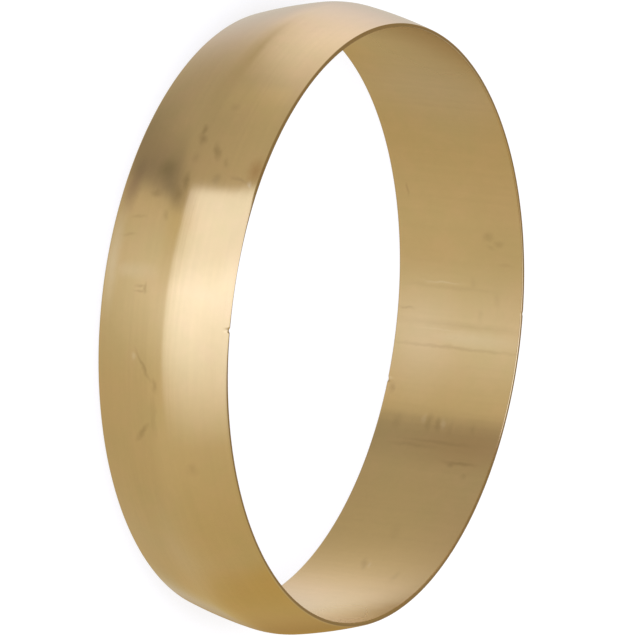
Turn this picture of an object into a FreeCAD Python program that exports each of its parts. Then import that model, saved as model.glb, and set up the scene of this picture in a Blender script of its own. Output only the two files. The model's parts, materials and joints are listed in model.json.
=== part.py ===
"""Brass compression olive: a turned ring with a straight bore and a crowned outside that thins to both rims.

The half section is drawn in the XZ plane and turned about Z. The ring lies on one rim, with the centre of
that end of the bore at the origin. All sizes are in millimetres.
"""

import FreeCAD
import Part
import math
import os
import Sketcher

# Driving dimensions: alias, value, meaning
DIMENSIONS = [
    ("bore_diameter", 54.2, "straight bore, a slide fit on 54 mm copper tube"),
    ("ring_width", 13.2, "from rim to rim along the bore"),
    ("crown_wall", 1.8, "wall at the crown, half way along the bore"),
    ("rim_wall", 0.36, "wall at each rim"),
    ("crown_radius", 6.0, "rounding of the crown, seen in section"),
    ("flank_radius", 40.0, "slight bow of the two flanks, seen in section"),
    ("edge_break", 0.08, "bevel on the four rim edges"),
]
NODE = "olive"

# Points of a line or arc in a sketch, and the sketch's own origin and axis
START = 1
END = 2
CENTRE = 3
ORIGIN = (-1, START)
HORIZONTAL_AXIS = -1


def add_dimensions(doc):
    """The sheet that drives the model: one alias for each dimension."""
    sheet = doc.addObject("Spreadsheet::Sheet", "Dimensions")
    for row, (alias, value, meaning) in enumerate(DIMENSIONS, start=1):
        sheet.set(f"A{row}", alias)
        sheet.set(f"B{row}", str(value))
        sheet.set(f"C{row}", meaning)
        sheet.setAlias(f"B{row}", alias)
    doc.recompute()
    return sheet


def flank_centre(rim, crown_centre, crown_radius, flank_radius):
    """Centre of the lower flank's arc, which runs from the rim's outer corner into the crown's arc."""
    reach = flank_radius - crown_radius
    between = rim - crown_centre
    span = between.Length
    along = (reach**2 - flank_radius**2 + span**2) / (2 * span)
    across = math.sqrt(reach**2 - along**2)
    unit = between / span
    inwards = FreeCAD.Vector(unit.y, -unit.x, 0)
    return crown_centre + unit * along + inwards * across


def arc_between(centre, radius, start, end):
    """Counter-clockwise arc about the centre, from the start point to the end point."""
    circle = Part.Circle(centre, FreeCAD.Vector(0, 0, 1), radius)
    return Part.ArcOfCircle(circle, circle.parameter(start), circle.parameter(end))


def section_lines(sheet):
    """The half section, counter-clockwise from the bore: rims, bowed flanks and rounded crown."""
    bore = sheet.bore_diameter / 2
    width = sheet.ring_width

    def mirrored(point):
        return FreeCAD.Vector(point.x, width - point.y, 0)

    bore_low = FreeCAD.Vector(bore, 0, 0)
    rim_low = FreeCAD.Vector(bore + sheet.rim_wall, 0, 0)
    crown_centre = FreeCAD.Vector(bore + sheet.crown_wall - sheet.crown_radius, width / 2, 0)
    low_centre = flank_centre(rim_low, crown_centre, sheet.crown_radius, sheet.flank_radius)
    outwards = (crown_centre - low_centre).normalize()
    crown_low = crown_centre + outwards * sheet.crown_radius

    bore_high = mirrored(bore_low)
    rim_high = mirrored(rim_low)
    crown_high = mirrored(crown_low)
    return {
        "bore": Part.LineSegment(bore_high, bore_low),
        "low_rim": Part.LineSegment(bore_low, rim_low),
        "low_flank": arc_between(low_centre, sheet.flank_radius, rim_low, crown_low),
        "crown": arc_between(crown_centre, sheet.crown_radius, crown_low, crown_high),
        "high_flank": arc_between(mirrored(low_centre), sheet.flank_radius, crown_high, rim_high),
        "high_rim": Part.LineSegment(rim_high, bore_high),
    }


def tie_section(sketch, line):
    """How the section's lines hang together, whatever their sizes."""
    low_corners = (("bore", "low_rim"), ("low_rim", "low_flank"))
    high_corners = (("high_flank", "high_rim"), ("high_rim", "bore"))
    for before, after in low_corners + high_corners:
        sketch.addConstraint(Sketcher.Constraint("Coincident", line[before], END, line[after], START))
    for before, after in (("low_flank", "crown"), ("crown", "high_flank")):
        sketch.addConstraint(Sketcher.Constraint("Tangent", line[before], END, line[after], START))
    for low, high in (("low_rim", "high_rim"), ("low_flank", "high_flank")):
        sketch.addConstraint(Sketcher.Constraint("Equal", line[low], line[high]))
    sketch.addConstraint(Sketcher.Constraint("Vertical", line["bore"]))
    sketch.addConstraint(Sketcher.Constraint("Horizontal", line["low_rim"]))
    sketch.addConstraint(Sketcher.Constraint("Horizontal", line["high_rim"]))
    sketch.addConstraint(Sketcher.Constraint("PointOnObject", line["low_rim"], START, HORIZONTAL_AXIS))


def size_section(sketch, line, sheet):
    """The section's sizes, each driven from the sheet."""
    bore = sheet.bore_diameter / 2
    crown_centre = bore + sheet.crown_wall - sheet.crown_radius

    def drive(expression, *constraint):
        index = sketch.addConstraint(Sketcher.Constraint(*constraint))
        sketch.setExpression(f"Constraints[{index}]", expression)

    drive("Dimensions.bore_diameter / 2", "DistanceX", *ORIGIN, line["low_rim"], START, bore)
    drive("Dimensions.ring_width", "DistanceY", line["bore"], END, line["bore"], START, sheet.ring_width)
    drive("Dimensions.rim_wall", "DistanceX", line["low_rim"], START, line["low_rim"], END, sheet.rim_wall)
    drive("Dimensions.ring_width / 2", "DistanceY", *ORIGIN, line["crown"], CENTRE, sheet.ring_width / 2)
    drive(
        "Dimensions.bore_diameter / 2 + Dimensions.crown_wall - Dimensions.crown_radius",
        "DistanceX",
        *ORIGIN,
        line["crown"],
        CENTRE,
        crown_centre,
    )
    drive("Dimensions.crown_radius", "Radius", line["crown"], sheet.crown_radius)
    drive("Dimensions.flank_radius", "Radius", line["low_flank"], sheet.flank_radius)


def add_half_section(body, sheet):
    """The sketch of the half section, on the XZ plane, with the bore's axis upright at its origin."""
    sketch = body.newObject("Sketcher::SketchObject", "HalfSection")
    plane = next(f for f in body.Origin.OriginFeatures if f.Role == "XZ_Plane")
    sketch.AttachmentSupport = [(plane, "")]
    sketch.MapMode = "FlatFace"
    line = {name: sketch.addGeometry(curve) for name, curve in section_lines(sheet).items()}
    tie_section(sketch, line)
    size_section(sketch, line, sheet)
    return sketch


def add_turned_ring(body, sketch):
    """The half section turned a full circle about Z."""
    ring = body.newObject("PartDesign::Revolution", "TurnedRing")
    ring.Profile = sketch
    ring.ReferenceAxis = (sketch, ["V_Axis"])
    ring.Angle = 360
    return ring


def rim_edges(shape, width):
    """Names of the four circles where the two rims meet the bore and the flanks."""
    rim_heights = (0, width)

    def on_a_rim(edge):
        box = edge.BoundBox
        level = (box.ZMin + box.ZMax) / 2
        return box.ZLength < 1e-6 and any(abs(level - z) < 1e-6 for z in rim_heights)

    return [f"Edge{i}" for i, edge in enumerate(shape.Edges, start=1) if on_a_rim(edge)]


def add_edge_break(body, ring, sheet):
    """The bevels that take the sharpness off the rims."""
    bevels = body.newObject("PartDesign::Chamfer", "EdgeBreak")
    bevels.Base = (ring, rim_edges(ring.Shape, sheet.ring_width))
    bevels.setExpression("Size", "Dimensions.edge_break")
    return bevels


def check(doc, body):
    """Stops before anything is written if an object failed or the ring isn't one sound solid."""
    failed = [o.Label for o in doc.Objects if {"Invalid", "Error"} & set(o.State)]
    if failed:
        raise RuntimeError(f"failed: {failed}")
    shape = body.Shape
    if shape.isNull() or not shape.isValid() or len(shape.Solids) != 1:
        raise RuntimeError(f"{body.Label} is not one valid solid")


def main():
    doc = FreeCAD.newDocument("CompressionOlive")
    sheet = add_dimensions(doc)

    body = doc.addObject("PartDesign::Body", "Olive")
    body.Label = NODE
    body.Placement = FreeCAD.Placement()
    sketch = add_half_section(body, sheet)
    ring = add_turned_ring(body, sketch)
    doc.recompute()
    add_edge_break(body, ring, sheet)
    doc.recompute()

    check(doc, body)
    os.makedirs("parts", exist_ok=True)
    body.Shape.exportStep(f"parts/{body.Label}.step")
    box = body.Shape.optimalBoundingBox()
    print(f"{body.Label}: {box.XLength:.2f} x {box.YLength:.2f} x {box.ZLength:.2f} mm")


main()
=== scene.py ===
"""Looks of the brass compression olive: the ring, its metal, the studio around it, the floor and the camera.

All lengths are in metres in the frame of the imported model, unless a name or a comment says mm. The ring lies
on the floor with its bore along +Z. A place on the ring is a turn in degrees about the bore, from the side
that is lowest in the picture, and a height in millimetres above the floor.
"""

import json
import math

import bpy
from mathutils import Matrix, Vector, noise


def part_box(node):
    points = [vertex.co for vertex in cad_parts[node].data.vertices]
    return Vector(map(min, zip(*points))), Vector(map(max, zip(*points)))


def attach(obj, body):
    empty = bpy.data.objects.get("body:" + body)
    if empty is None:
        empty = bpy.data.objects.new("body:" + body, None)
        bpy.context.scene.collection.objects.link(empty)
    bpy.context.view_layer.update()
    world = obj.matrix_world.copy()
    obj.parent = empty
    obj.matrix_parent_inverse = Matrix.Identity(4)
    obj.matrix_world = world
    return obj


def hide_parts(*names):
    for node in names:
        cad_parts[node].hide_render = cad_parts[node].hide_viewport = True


MM = 0.001

# The ring's section, as in the part's own sheet of dimensions
RIM_WALL = 0.36 * MM
CROWN_RADIUS = 6.0 * MM
FLANK_RADIUS = 40.0 * MM

# Rounding of the rim edges
EDGE_ROUNDING = 0.14 * MM

# Fineness of the ring's mesh
STEPS_ROUND = 630
BORE_STEPS = 44
RIM_STEPS = 3
EDGE_STEPS = 5
FLANK_STEPS = 24
CROWN_STEPS = 10

# How close to a rounded edge one more mesh line lies, as a share of the bore or flank, and of the rim
CLOSE_SHARE = 0.003
RIM_CLOSE_SHARE = 0.1

# Where turns are counted from, in degrees about Z
TURN_START = 3.17

# Soft waves in the metal: how long and how deep
WAVES = (
    (3.2 * MM, 0.008 * MM),
    (1.3 * MM, 0.004 * MM),
)

# Nicks in the rims: turn, height and radius in mm, reach and depth
NICKS = (
    (270.9, 13.2, 27.25, 0.3 * MM, 0.13 * MM),
    (92.3, 13.2, 27.3, 0.28 * MM, 0.1 * MM),
    (76.5, 0.0, 27.1, 0.34 * MM, 0.08 * MM),
)

# The finer mesh at a nick: degrees each side of it, and steps
NICK_ZONE = 1.0
NICK_STEPS = 20

# The stretch of the upper rim that is worn thin: turn and reach in degrees, depth, share worn off
WORN_TURN = 262.0
WORN_REACH = 23.0
WORN_DEPTH = 1.5 * MM
WORN_SHARE = 0.7

# The bake map: rows of the unrolled ring, one above the other
MAP_ROWS = 3
MAP_MARGIN = 0.01

# The camera looks down on the lying ring, and is rolled so that the bore runs across the picture
VIEW_ELEVATION = math.radians(29.16)
VIEW_ROLL = math.radians(96.52)
VIEW_DISTANCE = 0.813
LENS = 503.1
SENSOR = 36.0
AIM_RIGHT = 0.3045 * MM
AIM_DOWN = 0.146 * MM
CLIP_NEAR = 0.01
CLIP_FAR = 20.0


def view_axes():
    """The picture's right, its up and the way to the camera, in the model's frame."""
    back = Vector((0, -math.cos(VIEW_ELEVATION), math.sin(VIEW_ELEVATION)))
    level_right = Vector((1, 0, 0))
    level_up = back.cross(level_right)
    right = math.cos(VIEW_ROLL) * level_right + math.sin(VIEW_ROLL) * level_up
    up = back.cross(right)
    return right, up, back


def add_camera(centre):
    """The camera, aimed a little to the side of the ring's centre."""
    right, up, back = view_axes()
    data = bpy.data.cameras.new("camera")
    data.sensor_width = SENSOR
    data.lens = LENS
    data.clip_start = CLIP_NEAR
    data.clip_end = CLIP_FAR
    camera = bpy.data.objects.new("camera", data)
    aim = centre + right * AIM_RIGHT - up * AIM_DOWN
    turned = Matrix((right, up, back)).transposed().to_4x4()
    camera.matrix_world = Matrix.Translation(aim + back * VIEW_DISTANCE) @ turned
    bpy.context.collection.objects.link(camera)
    bpy.context.scene.camera = camera


def shares(steps, close_start=0.0, close_end=0.0):
    """Even shares from 0 to 1, with one more close to an end that meets a rounded corner."""
    result = [i / steps for i in range(steps + 1)]
    if close_start:
        result.insert(1, close_start)
    if close_end:
        result.insert(-1, 1 - close_end)
    return result


def arc_points(centre, radius, start, end, at):
    """Points on a circle in the section, at shares of the way from one angle to another."""
    turns = [start + (end - start) * t for t in at]
    return [Vector((centre.x + radius * math.cos(a), centre.y + radius * math.sin(a))) for a in turns]


def line_points(start, end, at):
    """Points on a straight line in the section, at shares of its length."""
    return [start.lerp(end, t) for t in at]


def corner_points(before, corner, after):
    """A corner of the section, rounded."""
    start = corner + (before - corner).normalized() * EDGE_ROUNDING
    end = corner + (after - corner).normalized() * EDGE_ROUNDING
    return [start.lerp(corner, t).lerp(corner.lerp(end, t), t) for t in shares(EDGE_STEPS)]


def section(bore, crown, width):
    """The closed half section as (radius, height) points: bore, lower rim, flanks and crown, upper rim."""
    rim = Vector((bore + RIM_WALL, 0))
    crown_centre = Vector((crown - CROWN_RADIUS, width / 2))
    reach = FLANK_RADIUS - CROWN_RADIUS
    between = rim - crown_centre
    span = between.length
    along = (reach**2 - FLANK_RADIUS**2 + span**2) / (2 * span)
    across = math.sqrt(reach**2 - along**2)
    unit = between / span
    flank_centre = crown_centre + unit * along + Vector((unit.y, -unit.x)) * across

    rim_turn = math.atan2(rim.y - flank_centre.y, rim.x - flank_centre.x)
    rim_turn += EDGE_ROUNDING / FLANK_RADIUS
    crown_turn = math.atan2(crown_centre.y - flank_centre.y, crown_centre.x - flank_centre.x)
    flank = arc_points(flank_centre, FLANK_RADIUS, rim_turn, crown_turn, shares(FLANK_STEPS, CLOSE_SHARE))
    ridge = arc_points(crown_centre, CROWN_RADIUS, crown_turn, -crown_turn, shares(CROWN_STEPS))

    bore_low = Vector((bore, 0))
    bore_middle = Vector((bore, width / 2))
    inner_corner = corner_points(bore_middle, bore_low, rim)
    outer_corner = corner_points(bore_low, rim, flank[0])
    lower = line_points(bore_middle, inner_corner[0], shares(BORE_STEPS // 2, 0, CLOSE_SHARE))
    lower += inner_corner[1:]
    rim_shares = shares(RIM_STEPS, RIM_CLOSE_SHARE, RIM_CLOSE_SHARE)
    lower += line_points(inner_corner[-1], outer_corner[0], rim_shares)[1:]
    lower += outer_corner[1:-1] + flank
    upper = [Vector((p.x, width - p.y)) for p in reversed(lower)]
    return lower + ridge[1:-1] + upper[:-1]


def on_ring(radius, turn, height):
    """The point at a turn of the ring."""
    angle = math.radians(turn + TURN_START)
    return Vector((radius * math.cos(angle), radius * math.sin(angle), height))


def ring_turns():
    """Turns of the mesh's sections, closer together at the nicks."""
    nicks = [nick[0] for nick in NICKS]
    even = [360 * i / STEPS_ROUND for i in range(STEPS_ROUND)]
    even = [t for t in even if all(abs(t - nick) > NICK_ZONE for nick in nicks)]
    steps = [NICK_ZONE * (2 * i / NICK_STEPS - 1) for i in range(NICK_STEPS + 1)]
    return sorted(even + [nick + step for nick in nicks for step in steps])


def wear_depth(point, nick_points):
    """How far wear lowers the metal: soft waves all over, and the nicks."""
    depth = sum(deep * (0.5 + 0.5 * noise.noise(point / long)) for long, deep in WAVES)
    for centre, reach, deep in nick_points:
        gap = (point - centre).length / reach
        if gap < 1:
            depth += deep * (1 - gap**2) ** 2
    return depth


def worn_radius(point, turn, bore, width):
    """Radius of a point of the section, less what is worn off the outside of the upper rim."""
    gap = min(1.0, abs(turn - WORN_TURN) / WORN_REACH)
    near_rim = max(0.0, 1 - (width - point.y) / WORN_DEPTH)
    worn_off = WORN_SHARE * near_rim**2 * (1 - gap**2) ** 2
    return bore + (point.x - bore) * (1 - worn_off)


def ring_points(outline, turns, bore, width):
    """The turned section, with each point lowered into the metal by its wear."""
    nick_points = [(on_ring(r * MM, t, z * MM), reach, deep) for t, z, r, reach, deep in NICKS]
    inwards = []
    for j in range(len(outline)):
        along = outline[(j + 1) % len(outline)] - outline[j - 1]
        inwards.append(Vector((-along.y, along.x)).normalized())
    points = []
    for turn in turns:
        for p, inward in zip(outline, inwards):
            thin = Vector((worn_radius(p, turn, bore, width), p.y))
            worn = thin + inward * wear_depth(on_ring(thin.x, turn, thin.y), nick_points)
            points.append(on_ring(worn.x, turn, worn.y))
    return points


def add_bake_map(mesh, outline, turns):
    """A map with the ring unrolled in rows, each row a share of the turn and the whole of the section."""
    count = len(outline)
    steps = [(outline[(j + 1) % count] - outline[j]).length for j in range(count)]
    climb = [sum(steps[:j]) / sum(steps) for j in range(count + 1)]
    ends = turns + [360 + turns[0]]
    row_turn = 360 / MAP_ROWS
    inner = 1 - 2 * MAP_MARGIN
    places = []
    for i in range(len(turns)):
        row = int(ends[i] // row_turn)
        across = [MAP_MARGIN + inner * (ends[i + k] / row_turn - row) for k in (0, 1)]
        for j in range(count):
            up = [(row + MAP_MARGIN + inner * climb[j + k]) / MAP_ROWS for k in (0, 1)]
            places += [across[0], up[0], across[1], up[0], across[1], up[1], across[0], up[1]]
    mesh.uv_layers.new(name="OFBake").data.foreach_set("uv", places)


def add_ring(bore, crown, width):
    """The ring as a fine turned mesh."""
    outline = section(bore, crown, width)
    turns = ring_turns()
    around = len(turns)
    count = len(outline)

    def quad(i, j):
        i_next = (i + 1) % around
        j_next = (j + 1) % count
        return (i * count + j, i_next * count + j, i_next * count + j_next, i * count + j_next)

    faces = [quad(i, j) for i in range(around) for j in range(count)]
    mesh = bpy.data.meshes.new("olive_ring")
    mesh.from_pydata(ring_points(outline, turns, bore, width), [], faces)
    mesh.shade_smooth()
    add_bake_map(mesh, outline, turns)
    ring = bpy.data.objects.new("olive_ring", mesh)
    bpy.context.collection.objects.link(ring)
    return ring


class Nodes:
    """Short ways to add nodes to a tree and link them."""

    def __init__(self, tree):
        self.tree = tree
        tree.nodes.clear()

    def add(self, kind, inputs=(), **settings):
        node = self.tree.nodes.new(kind)
        for name, value in settings.items():
            setattr(node, name, value)
        for key, value in dict(inputs).items():
            self.put(value, node.inputs[key])
        return node

    def put(self, value, socket):
        if isinstance(value, bpy.types.NodeSocket):
            self.tree.links.new(value, socket)
        else:
            socket.default_value = value

    def math(self, operation, *values):
        inputs = dict(enumerate(values))
        return self.add("ShaderNodeMath", inputs, operation=operation).outputs[0]

    def vector(self, operation, *values):
        inputs = dict(enumerate(values))
        return self.add("ShaderNodeVectorMath", inputs, operation=operation).outputs["Vector"]

    def dot(self, vector, axis):
        inputs = {0: vector, 1: tuple(axis)}
        return self.add("ShaderNodeVectorMath", inputs, operation="DOT_PRODUCT").outputs["Value"]

    def length(self, vector):
        return self.add("ShaderNodeVectorMath", {0: vector}, operation="LENGTH").outputs["Value"]

    def ramp(self, value, low, high, smooth=True, base=0.0, top=1.0):
        """From base at low to top at high, and level beyond both."""
        kind = "SMOOTHSTEP" if smooth else "LINEAR"
        inputs = {"Value": value, "From Min": low, "From Max": high, "To Min": base, "To Max": top}
        return self.add("ShaderNodeMapRange", inputs, interpolation_type=kind).outputs["Result"]

    def product(self, *values):
        result = values[0]
        for value in values[1:]:
            result = self.math("MULTIPLY", result, value)
        return result

    def mix(self, factor, low, high):
        """From one colour to another."""
        node = self.add("ShaderNodeMix", data_type="RGBA")
        self.put(factor, node.inputs["Factor"])
        self.put(low, node.inputs[6])
        self.put(high, node.inputs[7])
        return node.outputs[2]

    def noise(self, vector, size, detail=2.0, output="Fac"):
        """Noise whose lumps are about the given size."""
        inputs = {"Vector": vector, "Scale": 1 / size, "Detail": detail}
        return self.add("ShaderNodeTexNoise", inputs).outputs[output]


# Colours of the studio around the ring
LOW_AMBIENT = (0.69, 0.63, 0.47, 1)
HIGH_AMBIENT = (0.68, 0.655, 0.65, 1)
FILL = (0.82, 0.78, 0.69, 1)
WARM = (0.665, 0.55, 0.3, 1)
GROUND = (0.44, 0.285, 0.085, 1)
CEILING = (0.594, 0.563, 0.53, 1)
GLOOM = (0.4, 0.375, 0.37, 1)
SIDE = (1.035, 1.06, 1.17, 1)
BACKDROP = (1.26, 1.27, 1.6, 1)
SOFT_BOX = (1.7, 1.885, 2.69, 1)
DARK_CARD = (0.37, 0.31, 0.23, 1)
WHITE = (1, 1, 1, 1)

# Degrees up between which the low ambient turns into the high one
AMBIENT_RISE = (-80, 80)

# How panels' edges lean: degrees up for a degree left or the other way round, with shifts in degrees
CEILING_LEAN = 0.03
SIDE_LEAN = -0.25
BOX_TOP_LEAN = 0.05
BOX_CORNER_LEAN = -0.4
BOX_CORNER_SHIFT = 9
BOX_SIDE_LEAN = 0.12
BOX_SHOULDER_LEAN = -0.3
BOX_SHOULDER_SHIFT = 13
CREST_LEAN = -0.5

# Plain panels: colour, and for each edge its measure, where the panel starts and where it is full
PANELS = (
    (FILL, (("height", -80, -25), ("left", 115, 55), ("left", 0, 30))),
    (WARM, (("height", -8, -30), ("around", 135, 172), ("around", 225, 190))),
    (GROUND, (("height", -50, -12), ("height", 3, -6), ("around", 168, 181), ("around", 225, 190))),
    (CEILING, (("ceiling", 32.8, 40.3), ("height", 97, 65), ("left", -20, 58), ("left", 185, 120))),
    (GLOOM, (("ceiling", 34.8, 39.8), ("ceiling", 55, 42), ("left", 40, 95), ("left", 150, 120))),
    (SIDE, (("side", 20, -12), ("side", -40, -7), ("left", 29, 36), ("left", 115, 70))),
)

# Edges of the other panels: the same fields
BACKDROP_EDGES = (("height", 5, 50), ("aside", -0.6, -0.25), ("ahead", 0.35, -0.6))
BACKDROP_LOW = (("aside", 0.45, -0.1),)
BACKDROP_HIGH = (("crest", -0.32, -0.54),)
BACKDROP_RISE = (("height", 35, 70),)
DARK_CARD_EDGES = (("left", 15, -25), ("left", -155, -140), ("height", 75, 55), ("height", -45, -15))
BOX_EDGES = (("box_top", 47.6, 43.0), ("box_side", 48.3, 36.3), ("left", -75, -45))
SPILL_EDGES = (("left", 62, 47), ("left", 40, 46), ("height", -14, 4), ("height", 28, 8))

# Strength of the backdrop's low part, and of the light that spills beside the soft box
BACKDROP_LOW_SHARE = 0.85
SPILL_SHARE = 0.06

# The soft box's own shading: degrees up where it brightens and dims, degrees left where it dims, and to what
BOX_RISE = (-46, 7)
BOX_FALL = (22, 5)
BOX_FALL_SHARE = 0.7
BOX_FADE = (45, 31)
BOX_FADE_SHARE = 0.85


def studio_measures(n):
    """What edges are measured along: degrees left and up, shares aside and ahead, and leaning ways."""
    right, up, back = view_axes()
    direction = n.add("ShaderNodeTexCoord").outputs["Generated"]
    ahead = n.dot(direction, back)
    aside = n.dot(direction, -right)
    upward = n.dot(direction, up)
    left = n.math("DEGREES", n.math("ARCTAN2", aside, ahead))
    height = n.math("DEGREES", n.math("ARCSINE", upward))
    box_top = n.math("MULTIPLY_ADD", left, BOX_TOP_LEAN, height)
    box_corner = n.math("ADD", n.math("MULTIPLY_ADD", left, BOX_CORNER_LEAN, height), BOX_CORNER_SHIFT)
    side_lean = n.math("MULTIPLY", height, BOX_SIDE_LEAN)
    shoulder_lean = n.math("MULTIPLY_ADD", height, BOX_SHOULDER_LEAN, BOX_SHOULDER_SHIFT)
    return {
        "ahead": ahead,
        "aside": aside,
        "left": left,
        "height": height,
        "around": n.math("FLOORED_MODULO", left, 360),
        "ceiling": n.math("MULTIPLY_ADD", left, CEILING_LEAN, height),
        "side": n.math("MULTIPLY_ADD", left, SIDE_LEAN, height),
        "crest": n.math("MULTIPLY_ADD", upward, CREST_LEAN, aside),
        "box_top": n.math("MAXIMUM", box_top, box_corner),
        "box_side": n.math("ADD", left, n.math("MINIMUM", side_lean, shoulder_lean)),
    }


def panel(n, measures, edges):
    """How much of a panel lies in each direction."""
    return n.product(*(n.ramp(measures[name], start, full) for name, start, full in edges))


def backdrop(n, measures):
    """The backdrop, wide and soft low down and with a leaning edge higher up."""
    rise = panel(n, measures, BACKDROP_RISE)
    low = n.product(panel(n, measures, BACKDROP_LOW), BACKDROP_LOW_SHARE, n.math("SUBTRACT", 1.0, rise))
    high = n.product(panel(n, measures, BACKDROP_HIGH), rise)
    return n.product(panel(n, measures, BACKDROP_EDGES), n.math("ADD", low, high))


def soft_box(n, measures):
    """The soft box, brightest across its middle, and the light that spills beside it."""
    rise = n.ramp(measures["height"], *BOX_RISE, smooth=False)
    fall = n.ramp(measures["height"], *BOX_FALL, base=BOX_FALL_SHARE)
    fade = n.ramp(measures["left"], *BOX_FADE, base=BOX_FADE_SHARE)
    box = n.product(n.math("MINIMUM", rise, fall), fade, panel(n, measures, BOX_EDGES))
    return n.math("MULTIPLY_ADD", panel(n, measures, SPILL_EDGES), SPILL_SHARE, box)


def add_studio():
    """A world of soft panels that the metal reflects, and plain white for the camera."""
    world = bpy.data.worlds.new("studio")
    bpy.context.scene.world = world
    world.use_nodes = True
    n = Nodes(world.node_tree)
    measures = studio_measures(n)
    colour = n.mix(n.ramp(measures["height"], *AMBIENT_RISE, smooth=False), LOW_AMBIENT, HIGH_AMBIENT)
    for tint, edges in PANELS:
        colour = n.mix(panel(n, measures, edges), colour, tint)
    colour = n.mix(backdrop(n, measures), colour, BACKDROP)
    colour = n.mix(panel(n, measures, DARK_CARD_EDGES), colour, DARK_CARD)
    colour = n.mix(soft_box(n, measures), colour, SOFT_BOX)

    studio = n.add("ShaderNodeBackground", {"Color": colour, "Strength": 1.0})
    plain = n.add("ShaderNodeBackground", {"Color": WHITE, "Strength": 1.0})
    seen = n.add("ShaderNodeLightPath").outputs["Is Camera Ray"]
    shown = n.add("ShaderNodeMixShader", {0: seen, 1: studio.outputs[0], 2: plain.outputs[0]})
    n.add("ShaderNodeOutputWorld", {"Surface": shown.outputs[0]})


# Colours of the metal
BORE_BRASS = (0.60, 0.43, 0.203, 1)
OUTER_BRASS = (0.63, 0.455, 0.212, 1)
CLOUDED = (0.57, 0.44, 0.2, 1)
BLUSHED = (0.66, 0.45, 0.23, 1)
STAIN = (0.2, 0.125, 0.045, 1)
# Brighter brass for rubbed places, and for painted light
RUBBED_AND_PAINTED_LIGHT = (0.78, 0.64, 0.42, 1)

# Radii between which the bore's look turns into the outside's
BORE_SIDE = 27.2 * MM
OUTER_SIDE = 27.3 * MM

# Sizes of the metal's clouds, blush, specks, streaks along the bore, turning lines and ragged edges
CLOUD_SIZE = 7.0 * MM
BLUSH_SIZE = 2.2 * MM
SPECK_SIZE = 0.5 * MM
STREAK_SIZE = 0.45 * MM
LINE_SIZE = 0.35 * MM
RAGGED_SIZE = 0.8 * MM
FINE_DETAIL = 3.0

# How far the streaks and lines are drawn out, as factors on the place
ALONG_BORE = (1, 1, 0.03)
ALONG_TURN = (0.04, 0.04, 1)

# How far ragged edges reach, in mm, and the middle of the noise that they come from
RAGGED_REACH = (0.5, 0.5, 0)
NOISE_MIDDLE = (0.5, 0.5, 0.5)

# Strength of the clouds and the blush, each with the noise values between which it comes in
CLOUD_RANGE = (0.3, 0.7)
CLOUD_SHARE = 0.5
BLUSH_RANGE = (0.4, 0.7)
BLUSH_SHARE = 0.25

# Shading by the fine grain and the specks, and the depth of the grain
PLAIN_SHADE = 0.95
GRAIN_SHADE = 0.06
SPECK_SHADE = 0.04
GRAIN_DEPTH = 0.003 * MM

# Roughness, and what clouds and stains add to it
BORE_ROUGHNESS = 0.12
OUTER_ROUGHNESS = 0.08
CLOUD_ROUGHNESS = 0.08
STAIN_ROUGHNESS = 0.15

# Stains on the outside: turn, height, half length and half width in mm, lean in degrees, strength
OUTER_STAINS = (
    (228.5, 8.5, 0.41, 0.41, 0, 0.11),
    (234.7, 6.85, 0.69, 0.3, 5, 0.31),
    (236.4, 6.95, 0.62, 0.41, 20, 0.31),
    (238.4, 8.75, 0.9, 0.33, 22, 0.33),
    (240.2, 9.9, 0.48, 0.28, 10, 0.17),
    (240.3, 7.0, 0.55, 0.41, 0, 0.13),
    (243.7, 9.55, 0.55, 0.36, 0, 0.25),
    (242.8, 11.5, 0.22, 0.83, -10, 0.19),
    (245.1, 6.9, 0.83, 0.34, 8, 0.31),
    (247.7, 6.55, 0.8, 0.46, 5, 0.26),
    (251.7, 5.8, 0.55, 0.34, 25, 0.17),
    (247.7, 4.1, 0.36, 0.57, 0, 0.21),
    (252.1, 2.8, 0.21, 0.83, 0, 0.13),
    (255.5, 2.2, 0.16, 0.83, 0, 0.14),
    (265.0, 5.05, 0.48, 0.22, 0, 0.25),
    (264.6, 4.6, 0.14, 0.69, 0, 0.21),
    (265.5, 4.6, 0.14, 0.69, 0, 0.21),
    (278.6, 5.4, 1.52, 0.21, 33, 0.27),
    (282.0, 6.65, 0.69, 0.3, 0, 0.25),
    (287.6, 6.4, 2.07, 0.34, -3, 0.13),
    (290.9, 5.0, 1.17, 0.28, -42, 0.27),
    (297.5, 9.5, 0.69, 0.48, 0, 0.14),
)

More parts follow.
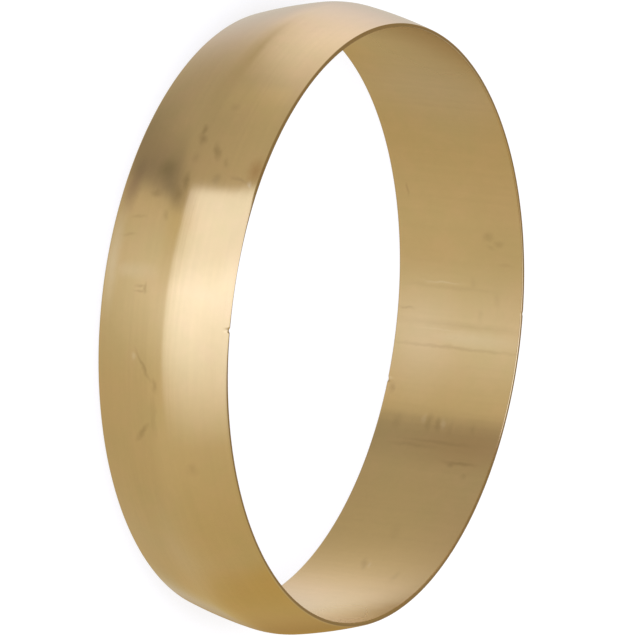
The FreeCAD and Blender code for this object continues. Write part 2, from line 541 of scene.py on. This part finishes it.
# Stains in the bore: the same fields
BORE_STAINS = (
    (60.7, 9.9, 0.22, 1.79, 0, 0.25),
    (60.3, 9.0, 0.34, 0.41, 0, 0.25),
    (58.0, 10.8, 0.34, 0.28, 0, 0.14),
    (63.6, 4.5, 0.25, 2.53, 0, 0.14),
    (64.7, 7.0, 0.21, 3.68, 0, 0.14),
    (68.4, 6.4, 0.75, 0.3, -14, 0.27),
    (68.7, 5.4, 0.95, 0.34, -4, 0.22),
    (67.7, 7.8, 0.9, 0.35, 6, 0.1),
    (68.2, 10.2, 0.6, 0.28, -12, 0.12),
    (68.0, 2.1, 0.8, 0.5, -15, 0.12),
    (84.1, 6.5, 0.2, 7.24, 0, 0.16),
    (88.6, 6.5, 0.39, 7.47, 0, 0.09),
    (88.6, 7.0, 0.17, 7.0, 0, 0.13),
    (91.0, 1.0, 0.16, 0.97, 0, 0.19),
    (95.9, 5.5, 0.22, 5.17, 0, 0.08),
    (105.7, 10.7, 0.39, 0.53, 0, 0.17),
    (107.0, 9.6, 0.49, 0.63, 0, 0.18),
    (104.8, 9.8, 0.28, 0.48, 15, 0.11),
    (101.5, 11.4, 0.21, 0.83, 0, 0.09),
    (97.0, 7.9, 0.69, 0.34, 0, 0.08),
    (94.5, 10.5, 0.83, 0.34, 0, 0.08),
    (91.0, 8.9, 0.69, 0.28, 0, 0.08),
    (115.5, 1.4, 0.62, 0.16, 0, 0.21),
    (32.3, 5.75, 1.03, 0.3, -22, 0.19),
    (29.5, 9.7, 1.1, 0.34, -5, 0.09),
    (42.5, 6.6, 1.38, 0.55, -15, 0.06),
    (74.9, 0.7, 0.55, 0.34, 0, 0.22),
)

# Rubbed, brighter places and painted light: the same fields. The long patches on the outside at turns 260,
# 262, 322 and 341 are painted light; the small ones are rubs.
OUTER_RUBS_AND_PAINTED_LIGHT = (
    (277.2, 4.3, 0.3, 0.25, 0, 0.35),
    (243.4, 12.5, 0.35, 0.2, 20, 0.5),
    (262.0, 3.0, 0.8, 3.0, 0, 0.2),
    (322.0, 6.4, 10.0, 2.2, 0, 0.2),
    (260.0, 0.7, 4.5, 0.9, 0, 0.45),
    (341.0, 6.5, 4.0, 1.5, 0, 0.35),
)
# In the bore the wide patches at turns 84 and 86 are painted light; the others are rubs and fine lines.
BORE_RUBS_AND_PAINTED_LIGHT = (
    (68.7, 6.95, 0.6, 0.25, -8, 0.25),
    (69.4, 4.8, 0.6, 0.3, 0, 0.22),
    (32.2, 6.3, 0.5, 0.16, -22, 0.35),
    (86.0, 6.6, 0.9, 7.0, 0, 0.2),
    (87.4, 4.0, 0.1, 3.0, 0, 0.25),
    (96.8, 4.5, 0.1, 2.2, 0, 0.3),
    (84.0, 3.0, 6.0, 3.5, 0, 0.18),
)

# Tarnish and painted shade: the same fields, and a colour. On the outside the patches at turns 208 and 330 are
# painted shade, the dark patch from turn 242 to 246 is partly stain and partly painted shade, and the reddish
# patch at turn 240.5 is rust.
OUTER_TARNISH_AND_PAINTED_SHADE = (
    ((242.8, 4.4, 1.0, 1.1, -20, 0.4), (0.32, 0.25, 0.1, 1)),
    ((242.2, 2.0, 1.3, 1.6, -10, 0.16), (0.3, 0.22, 0.12, 1)),
    ((245.6, 5.2, 1.6, 0.8, 20, 0.24), (0.32, 0.23, 0.12, 1)),
    ((246.2, 1.1, 2.3, 1.0, 0, 0.65), (0.36, 0.23, 0.13, 1)),
    ((240.5, 12.6, 1.3, 0.6, 0, 0.5), (0.42, 0.22, 0.08, 1)),
    ((208.0, 2.5, 9.0, 4.0, 0, 0.35), (0.45, 0.33, 0.19, 1)),
    ((330.0, 1.5, 4.5, 2.2, 0, 0.3), (0.48, 0.36, 0.22, 1)),
)
# In the bore these patches are painted light and shade: paler at turns 5, 30.5 and 46, darker at 64.5 and 105,
# and greyer at 158.
BORE_PAINTED_LIGHT_AND_SHADE = (
    ((158.0, 8.0, 12.0, 9.0, 0, 0.45), (0.55, 0.5, 0.44, 1)),
    ((5.0, 9.0, 9.0, 8.0, 0, 0.7), (0.85, 0.66, 0.27, 1)),
    ((30.5, 5.5, 7.5, 9.0, 0, 0.85), (0.77, 0.56, 0.26, 1)),
    ((46.0, 4.0, 9.0, 8.0, 0, 0.5), (0.65, 0.48, 0.2, 1)),
    ((64.5, 10.0, 2.6, 6.0, 0, 0.5), (0.53, 0.34, 0.15, 1)),
    ((105.0, 11.5, 8.0, 4.0, 0, 0.25), (0.5, 0.37, 0.17, 1)),
)

# Hazier places in the bore: the same fields
BORE_HAZE = (
    (165.0, 10.0, 16.0, 9.0, 0, 0.16),
    (8.0, 10.0, 14.0, 9.0, 0, 0.12),
)

# Millimetres round the ring for a degree of turn, and the turns where the unrolled sides begin
ROUND_MM = 0.4974
OUTER_SEAM = 90
BORE_SEAM = -90

# Where a patch has faded out, in half lengths or half widths
PATCH_EDGE = 1.5


def spot(n, place, turn, height, half_length, half_width, lean, strength):
    """A soft-edged patch at a place on the unrolled ring."""
    angle = math.radians(lean)
    long_way = Vector((math.cos(angle), math.sin(angle))) / half_length
    wide_way = Vector((-math.sin(angle), math.cos(angle))) / half_width
    centre = Vector((turn * ROUND_MM, height))
    along = n.dot(place, (*long_way, -long_way.dot(centre)))
    across = n.dot(place, (*wide_way, -wide_way.dot(centre)))
    square = n.math("MULTIPLY_ADD", along, along, n.math("MULTIPLY", across, across))
    return n.ramp(n.math("SQRT", square), PATCH_EDGE, 0.0, top=strength)


def spots(n, place, table):
    """The strongest of a table's patches at each place."""
    result = 0.0
    for fields in table:
        result = n.math("MAXIMUM", result, spot(n, place, *fields))
    return result


def marks(n, sides, tables):
    """The patches of one kind on the outside and in the bore, from a table for each."""
    outer, bore = (n.product(share, spots(n, place, table)) for (share, place), table in zip(sides, tables))
    return n.math("ADD", outer, bore)


def unrolled(n, position, first_turn):
    """Millimetres round the ring and above the floor, and 1, with the seam at the given turn."""
    x, y, z = n.add("ShaderNodeSeparateXYZ", {0: position}).outputs
    turn = n.math("DEGREES", n.math("ARCTAN2", y, x))
    turn = n.math("FLOORED_MODULO", n.math("SUBTRACT", turn, TURN_START + first_turn), 360)
    round_mm = n.math("MULTIPLY", n.math("ADD", turn, first_turn), ROUND_MM)
    height_mm = n.math("DIVIDE", z, MM)
    return n.add("ShaderNodeCombineXYZ", {0: round_mm, 1: height_mm, 2: 1.0}).outputs[0]


def unrolled_sides(n, position, outside):
    """The share of the outside and of the bore, each with its unrolled place, ragged for the patches."""
    ragged = n.vector("SUBTRACT", n.noise(position, RAGGED_SIZE, output="Color"), NOISE_MIDDLE)
    ragged = n.vector("MULTIPLY", ragged, RAGGED_REACH)
    outer_place = n.vector("ADD", unrolled(n, position, OUTER_SEAM), ragged)
    bore_place = n.vector("ADD", unrolled(n, position, BORE_SEAM), ragged)
    return (outside, outer_place), (n.math("SUBTRACT", 1.0, outside), bore_place)


def brass_colour(n, position, sides, clouds, stains, grain):
    """The brass of both sides, with clouds, blush, tarnish with painted shade and light, rubbed places with
    painted light, stains and shaded grain.
    """
    outside = sides[0][0]
    colour = n.mix(outside, BORE_BRASS, OUTER_BRASS)
    colour = n.mix(n.ramp(clouds, *CLOUD_RANGE, top=CLOUD_SHARE), colour, CLOUDED)
    blush = n.noise(position, BLUSH_SIZE)
    colour = n.mix(n.ramp(blush, *BLUSH_RANGE, top=BLUSH_SHARE), colour, BLUSHED)
    # Tarnish, and painted light and shade in wide patches
    for (share, place), table in zip(sides, (OUTER_TARNISH_AND_PAINTED_SHADE, BORE_PAINTED_LIGHT_AND_SHADE)):
        for fields, tint in table:
            colour = n.mix(n.product(share, spot(n, place, *fields)), colour, tint)
    # Rubbed places, and painted light
    colour = n.mix(marks(n, sides, (OUTER_RUBS_AND_PAINTED_LIGHT, BORE_RUBS_AND_PAINTED_LIGHT)), colour, RUBBED_AND_PAINTED_LIGHT)
    colour = n.mix(stains, colour, STAIN)
    shade = n.math("MULTIPLY_ADD", grain, GRAIN_SHADE, PLAIN_SHADE)
    shade = n.math("MULTIPLY_ADD", n.noise(position, SPECK_SIZE), SPECK_SHADE, shade)
    return n.vector("MULTIPLY", colour, shade)


def brass_roughness(n, radius, sides, clouds, stains):
    """A smoother outside and a duller bore, rougher in clouds, stains and hazy places."""
    inside, bore_place = sides[1]
    roughness = n.ramp(radius, BORE_SIDE, OUTER_SIDE, base=BORE_ROUGHNESS, top=OUTER_ROUGHNESS)
    roughness = n.math("MULTIPLY_ADD", clouds, CLOUD_ROUGHNESS, roughness)
    roughness = n.math("MULTIPLY_ADD", stains, STAIN_ROUGHNESS, roughness)
    return n.math("ADD", roughness, n.product(inside, spots(n, bore_place, BORE_HAZE)))


def brass():
    """Brass with turning lines outside, streaks along the bore, and the marks, painted light and painted shade
    of the tables above.
    """
    material = bpy.data.materials.new("brass")
    material.use_nodes = True
    n = Nodes(material.node_tree)
    position = n.add("ShaderNodeTexCoord").outputs["Object"]
    radius = n.length(n.vector("MULTIPLY", position, (1, 1, 0)))
    outside = n.ramp(radius, BORE_SIDE, OUTER_SIDE)
    sides = unrolled_sides(n, position, outside)
    clouds = n.noise(position, CLOUD_SIZE, FINE_DETAIL)
    stains = marks(n, sides, (OUTER_STAINS, BORE_STAINS))
    streaks = n.noise(n.vector("MULTIPLY", position, ALONG_BORE), STREAK_SIZE, FINE_DETAIL)
    lines = n.noise(n.vector("MULTIPLY", position, ALONG_TURN), LINE_SIZE)
    grain = n.mix(outside, streaks, lines)
    relief = n.add("ShaderNodeBump", {"Strength": 1.0, "Distance": GRAIN_DEPTH, "Height": grain})
    looks = {
        "Base Color": brass_colour(n, position, sides, clouds, stains, grain),
        "Metallic": 1.0,
        "Roughness": brass_roughness(n, radius, sides, clouds, stains),
        "Normal": relief.outputs[0],
    }
    shader = n.add("ShaderNodeBsdfPrincipled", looks)
    n.add("ShaderNodeOutputMaterial", {"Surface": shader.outputs[0]})
    return material


# The floor: half its side, its colour, and the light that brings it up to white for the camera
FLOOR_REACH = 3.0
FLOOR_COLOUR = (0.3, 0.3, 0.31, 1)
FLOOR_LIFT = 0.76

# The lamp above the ring
LAMP_SIZE = 0.5
LAMP_POWER = 2.0
LAMP_HEIGHT = 0.7


def add_floor():
    """A plain pale floor that keeps the ring's shadow."""
    corners = [(x * FLOOR_REACH, y * FLOOR_REACH, 0) for x, y in ((-1, -1), (1, -1), (1, 1), (-1, 1))]
    mesh = bpy.data.meshes.new("floor")
    mesh.from_pydata(corners, [], [(0, 1, 2, 3)])
    floor = bpy.data.objects.new("floor", mesh)
    bpy.context.collection.objects.link(floor)
    material = bpy.data.materials.new("floor")
    material.use_nodes = True
    n = Nodes(material.node_tree)
    matt = n.add("ShaderNodeBsdfDiffuse", {"Color": FLOOR_COLOUR})
    seen = n.add("ShaderNodeLightPath").outputs["Is Camera Ray"]
    lift = n.add("ShaderNodeEmission", {"Color": WHITE, "Strength": n.math("MULTIPLY", seen, FLOOR_LIFT)})
    both = n.add("ShaderNodeAddShader", {0: matt.outputs[0], 1: lift.outputs[0]})
    n.add("ShaderNodeOutputMaterial", {"Surface": both.outputs[0]})
    mesh.materials.append(material)
    floor.visible_glossy = False


def add_lamp():
    """A soft round lamp straight above the ring."""
    data = bpy.data.lights.new("overhead", "AREA")
    data.shape = "DISK"
    data.size = LAMP_SIZE
    data.energy = LAMP_POWER
    lamp = bpy.data.objects.new("overhead", data)
    lamp.location = (0, 0, LAMP_HEIGHT)
    lamp.visible_camera = False
    lamp.visible_glossy = False
    bpy.context.collection.objects.link(lamp)


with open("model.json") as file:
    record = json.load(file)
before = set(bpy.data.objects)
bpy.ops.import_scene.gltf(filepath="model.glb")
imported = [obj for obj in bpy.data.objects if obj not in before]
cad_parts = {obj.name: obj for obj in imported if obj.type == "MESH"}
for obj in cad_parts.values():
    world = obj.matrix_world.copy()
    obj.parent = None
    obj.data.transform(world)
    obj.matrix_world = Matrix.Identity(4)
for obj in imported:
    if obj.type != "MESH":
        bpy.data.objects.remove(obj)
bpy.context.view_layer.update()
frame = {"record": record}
low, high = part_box("olive")
tube_bore = next(m for m in frame["record"]["mounts"] if m["name"] == "tube_bore")
bore_radius = tube_bore["dims"]["r_mm"] * MM
crown_reach = (high[0] - low[0]) / 2
ring_width = high[2] - low[2]

ring = add_ring(bore_radius, crown_reach, ring_width)
ring.data.materials.append(brass())
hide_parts("olive")
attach(ring, "root")

add_floor()
add_lamp()
add_studio()
add_camera(Vector((0, 0, (low[2] + high[2]) / 2)))
bpy.context.scene.view_settings.view_transform = "Standard"
